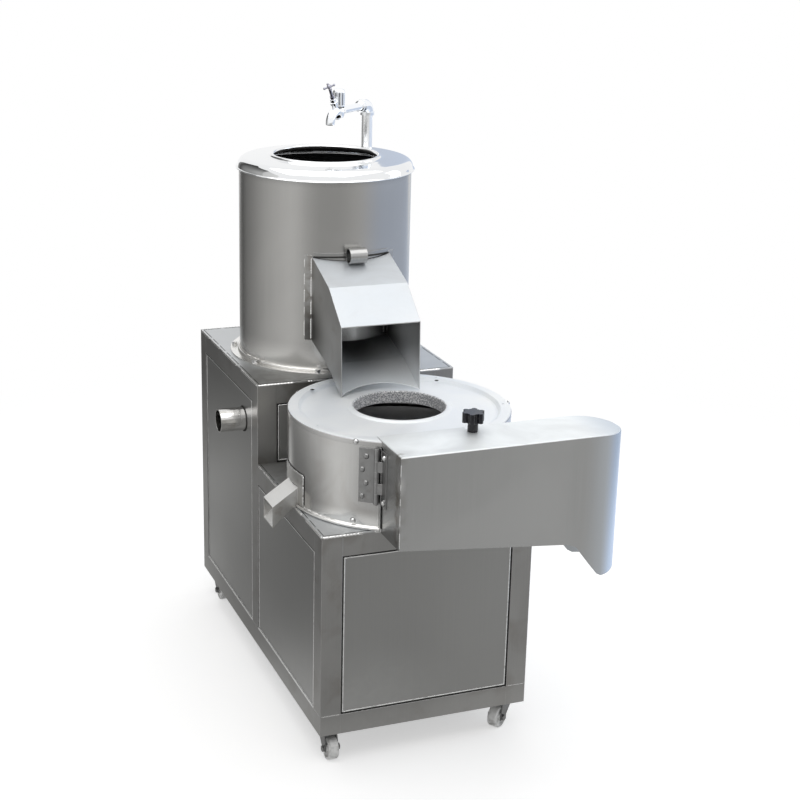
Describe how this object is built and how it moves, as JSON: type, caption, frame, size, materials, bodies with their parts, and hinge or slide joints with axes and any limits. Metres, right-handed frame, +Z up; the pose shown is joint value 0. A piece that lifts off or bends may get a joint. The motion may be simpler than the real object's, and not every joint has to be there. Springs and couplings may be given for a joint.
{
  "type": "electric potato peeling and slicing machine",
  "caption": "Stepped steel cabinet on casters with an abrasive peeling drum, discharge chute and water tap on the high deck and a disc slicer with a swing-open discharge hood on the low deck.",
  "frame": {"origin": "centre of the machine's footprint box, on the floor under the casters", "axes": "+Z up, +X to the operator's right (the discharge hood's end), +Y to the rear (the peeling drum's side)"},
  "size_m": [0.6866, 1.058, 1.3271],
  "materials": {
    "frame_steel": "fine grain, welded square tube",
    "brushed_sheet": "brushed stainless sheet",
    "drum_steel": "semi-bright rolled stainless sheet",
    "polished_steel": "polished",
    "chrome": "chrome plate",
    "bright_steel": "machined",
    "zinc_plate": "zinc plate, dull",
    "cast_aluminium": "cast and wire-brushed",
    "cast_iron": "as cast",
    "abrasive": "bonded grit",
    "belt_rubber": "matt",
    "motor_paint": "hammer paint",
    "black_bakelite": "moulded",
    "white_nylon": "moulded",
    "grey_plastic": "moulded",
    "black_plastic": "moulded",
    "green_button": "moulded",
    "red_button": "moulded"
  },
  "bodies": {
    "machine": {"base_frame": "frame_steel", "motor_plates": "frame_steel", "low_deck": "brushed_sheet", "high_deck": "brushed_sheet", "front_panel": "brushed_sheet", "rear_panel": "brushed_sheet", "step_panel": "brushed_sheet", "side_panels": "brushed_sheet", "caster_plates": "zinc_plate", "peeler_drum": "drum_steel", "drum_ring": "polished_steel", "flange_bolts": "zinc_plate", "abrasive_liner": "abrasive", "drum_pan": "brushed_sheet", "drain_pipe": "brushed_sheet", "peeler_bearing_housing": "cast_iron", "slicer_bearing_housing": "cast_iron", "shaft_bearings": "bright_steel", "drive_belts": "belt_rubber", "peeler_motor": "motor_paint", "slicer_motor": "motor_paint", "discharge_chute": "brushed_sheet", "riser_pipe": "polished_steel", "pipe_elbow": "polished_steel", "riser_clips": "brushed_sheet", "tap_body": "chrome", "slicer_drum": "drum_steel", "slicer_lid": "cast_aluminium", "slicer_screws": "bright_steel", "rinse_spout": "brushed_sheet", "hinge_fixed_leaf": "bright_steel", "knob_stud": "bright_steel", "switch_box": "grey_plastic", "cable_gland": "black_plastic"},
    "peeler_rotor": {"abrasive_disc": "abrasive", "peeler_shaft": "bright_steel", "peeler_pulley": "cast_iron"},
    "peeler_motor_rotor": {"peeler_motor_pulley": "cast_iron"},
    "slicer_rotor": {"cutter_disc": "cast_aluminium", "cutter_blades": "bright_steel", "slicer_shaft": "bright_steel", "slicer_pulley": "cast_iron"},
    "slicer_motor_rotor": {"slicer_motor_pulley": "cast_iron"},
    "gate": {"chute_gate": "brushed_sheet"},
    "tap_cross": {"tap_handle": "chrome"},
    "hood": {"discharge_hood": "brushed_sheet", "hinge_moving_leaf": "bright_steel"},
    "knob": {"star_knob": "black_bakelite"},
    "caster_fl": {"caster_fork_fl": "zinc_plate"},
    "wheel_fl": {"caster_wheel_fl": "white_nylon"},
    "caster_fr": {"caster_fork_fr": "zinc_plate"},
    "wheel_fr": {"caster_wheel_fr": "white_nylon"},
    "caster_rl": {"caster_fork_rl": "zinc_plate"},
    "wheel_rl": {"caster_wheel_rl": "white_nylon"},
    "caster_rr": {"caster_fork_rr": "zinc_plate"},
    "wheel_rr": {"caster_wheel_rr": "white_nylon"},
    "peeler_start_key": {"peeler_start_button": "green_button"},
    "peeler_stop_key": {"peeler_stop_button": "red_button"},
    "slicer_start_key": {"slicer_start_button": "green_button"},
    "slicer_stop_key": {"slicer_stop_button": "red_button"}
  },
  "joints": [
    {"name": "peeler_spin", "type": "hinge", "parent": "machine", "child": "peeler_rotor", "pos_m": [-0.04675, 0.2695, 0.776], "axis": [0, 0, 1], "continuous": true},
    {"name": "peeler_motor_spin", "type": "hinge", "parent": "machine", "child": "peeler_motor_rotor", "pos_m": [0.05925, 0.161, 0.53], "axis": [0, 0, 1], "continuous": true},
    {"name": "slicer_spin", "type": "hinge", "parent": "machine", "child": "slicer_rotor", "pos_m": [-0.04125, -0.2135, 0.634], "axis": [0, 0, 1], "continuous": true},
    {"name": "slicer_motor_spin", "type": "hinge", "parent": "machine", "child": "slicer_motor_rotor", "pos_m": [-0.14075, -0.084, 0.372], "axis": [0, 0, 1], "continuous": true},
    {"name": "gate_slide", "type": "slide", "parent": "machine", "child": "gate", "axis": [0, 0, 1], "range_m": [0, 0.141]},
    {"name": "tap_turn", "type": "hinge", "parent": "machine", "child": "tap_cross", "pos_m": [-0.00881, 0.32146, 1.281], "axis": [-0.383, -0.3214, 0.866], "range_deg": [0, 540]},
    {"name": "hood_swing", "type": "hinge", "parent": "machine", "child": "hood", "pos_m": [-0.17134, -0.4217, 0.6355], "axis": [0, 0, -1], "range_deg": [0, 90]},
    {"name": "knob_turn", "type": "hinge", "parent": "machine", "child": "knob", "pos_m": [0.03625, -0.424, 0.713], "axis": [0, 0, 1], "continuous": true},
    {"name": "caster_swivel_fl", "type": "hinge", "parent": "machine", "child": "caster_fl", "pos_m": [-0.25425, -0.376, 0.058], "axis": [0, 0, 1], "continuous": true},
    {"name": "wheel_roll_fl", "type": "hinge", "parent": "caster_fl", "child": "wheel_fl", "pos_m": [-0.25425, -0.398, 0.025], "axis": [1, 0, 0], "continuous": true},
    {"name": "caster_swivel_fr", "type": "hinge", "parent": "machine", "child": "caster_fr", "pos_m": [0.15675, -0.376, 0.058], "axis": [0, 0, 1], "continuous": true},
    {"name": "wheel_roll_fr", "type": "hinge", "parent": "caster_fr", "child": "wheel_fr", "pos_m": [0.13873, -0.38862, 0.025], "axis": [0.5736, -0.8192, 0], "continuous": true},
    {"name": "caster_swivel_rl", "type": "hinge", "parent": "machine", "child": "caster_rl", "pos_m": [-0.25425, 0.4675, 0.058], "axis": [0, 0, 1], "continuous": true},
    {"name": "wheel_roll_rl", "type": "hinge", "parent": "caster_rl", "child": "wheel_rl", "pos_m": [-0.25425, 0.4455, 0.025], "axis": [1, 0, 0], "continuous": true},
    {"name": "caster_swivel_rr", "type": "hinge", "parent": "machine", "child": "caster_rr", "pos_m": [0.15675, 0.4675, 0.058], "axis": [0, 0, 1], "continuous": true},
    {"name": "wheel_roll_rr", "type": "hinge", "parent": "caster_rr", "child": "wheel_rr", "pos_m": [0.16937, 0.44948, 0.025], "axis": [0.8192, 0.5736, 0], "continuous": true},
    {"name": "peeler_start_press", "type": "slide", "parent": "machine", "child": "peeler_start_key", "axis": [-1, 0, 0], "range_m": [0, 0.004], "stiffness_N_per_m": 500},
    {"name": "peeler_stop_press", "type": "slide", "parent": "machine", "child": "peeler_stop_key", "axis": [-1, 0, 0], "range_m": [0, 0.004], "stiffness_N_per_m": 500},
    {"name": "slicer_start_press", "type": "slide", "parent": "machine", "child": "slicer_start_key", "axis": [-1, 0, 0], "range_m": [0, 0.004], "stiffness_N_per_m": 500},
    {"name": "slicer_stop_press", "type": "slide", "parent": "machine", "child": "slicer_stop_key", "axis": [-1, 0, 0], "range_m": [0, 0.004], "stiffness_N_per_m": 500}
  ],
  "couplings": [
    {"joint": "peeler_motor_spin", "follows": "peeler_spin", "ratio": 2.5569},
    {"joint": "slicer_motor_spin", "follows": "slicer_spin", "ratio": 2.1299}
  ]
}
